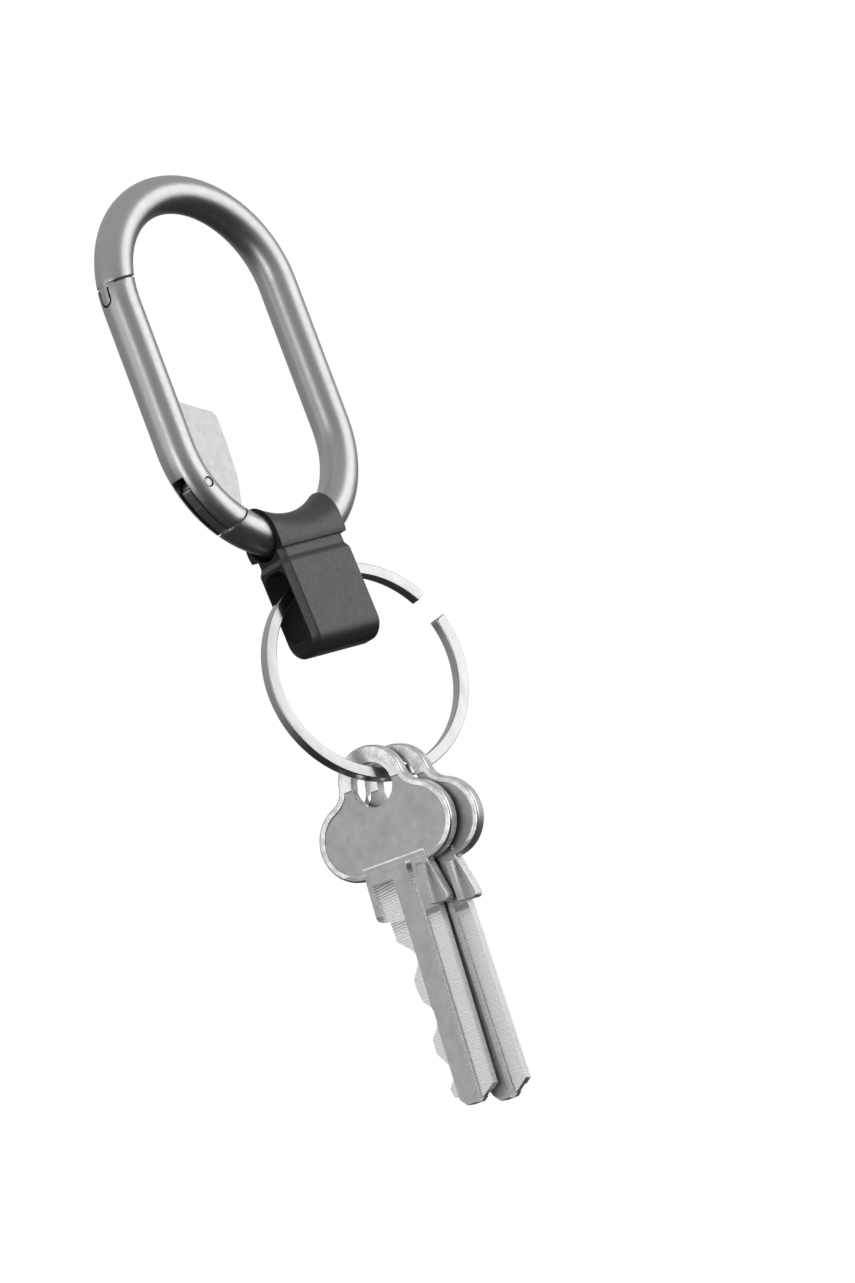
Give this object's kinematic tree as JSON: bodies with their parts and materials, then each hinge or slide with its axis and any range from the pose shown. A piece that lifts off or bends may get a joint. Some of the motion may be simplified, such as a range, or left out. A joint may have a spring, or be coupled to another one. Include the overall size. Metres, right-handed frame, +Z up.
{
  "type": "key organiser",
  "caption": "Key organiser: an oval carabiner with a sprung gate carries a slotted connector, an open key ring and hanging house keys.",
  "frame": {"origin": "the point inside the top of the carabiner loop on which the organiser hangs", "axes": "+Z up along the carabiner's long axis, +X across the loop away from the gate, +Y away from a viewer in front"},
  "size_m": [0.0404, 0.0239, 0.1495],
  "materials": {
    "carabiner_metal": "satin, fine bead-blasted grey",
    "pin_steel": "satin",
    "spring_steel": "bright drawn wire",
    "connector_black": "matte, fine-grained charcoal",
    "ring_steel": "bright satin",
    "key_nickel": "worn nickel plate with fine scratches"
  },
  "bodies": {
    "carabiner": {"carabiner_body": "carabiner_metal"},
    "gate": {"gate": "carabiner_metal", "gate_pivot_pin": "pin_steel", "gate_spring": "spring_steel"},
    "plunger": {"spring_plunger": "pin_steel"},
    "connector": {"connector": "connector_black"},
    "key_ring": {"key_ring": "ring_steel"},
    "front_key": {"front_key": "key_nickel"},
    "rear_key": {"rear_key": "key_nickel"}
  },
  "joints": [
    {"name": "gate_hinge", "type": "hinge", "parent": "carabiner", "child": "gate", "pos_m": [-0.0152, 0, -0.04336], "axis": [0, 1, 0], "range_deg": [0, 22], "stiffness_Nm_per_rad": 0.03, "springref_deg": -34.38},
    {"name": "plunger_slide", "type": "slide", "parent": "gate", "child": "plunger", "axis": [-0.1005, 0, 0.9949], "range_m": [0, 0.0005], "deforming": ["gate_spring"]},
    {"name": "connector_swing", "type": "hinge", "parent": "carabiner", "child": "connector", "pos_m": [0.00072, 0, -0.05331], "axis": [0.999, 0, 0.0436], "range_deg": [-20, 20]},
    {"name": "ring_spin", "type": "hinge", "parent": "connector", "child": "key_ring", "pos_m": [0.004, -0.0007, -0.0759], "axis": [0.2284, 0.9736, 0], "continuous": true},
    {"name": "front_key_swing", "type": "hinge", "parent": "connector", "child": "front_key", "pos_m": [-0.00086, 0.00114, -0.09274], "axis": [0.9489, 0.3156, 0], "range_deg": [-75, 75]},
    {"name": "rear_key_swing", "type": "hinge", "parent": "connector", "child": "rear_key", "pos_m": [0.00299, -0.00038, -0.09367], "axis": [0.9489, 0.3156, 0], "range_deg": [-75, 75]}
  ],
  "couplings": [
    {"joint": "plunger_slide", "follows": "gate_hinge", "m_per_rad": 0.001042}
  ]
}
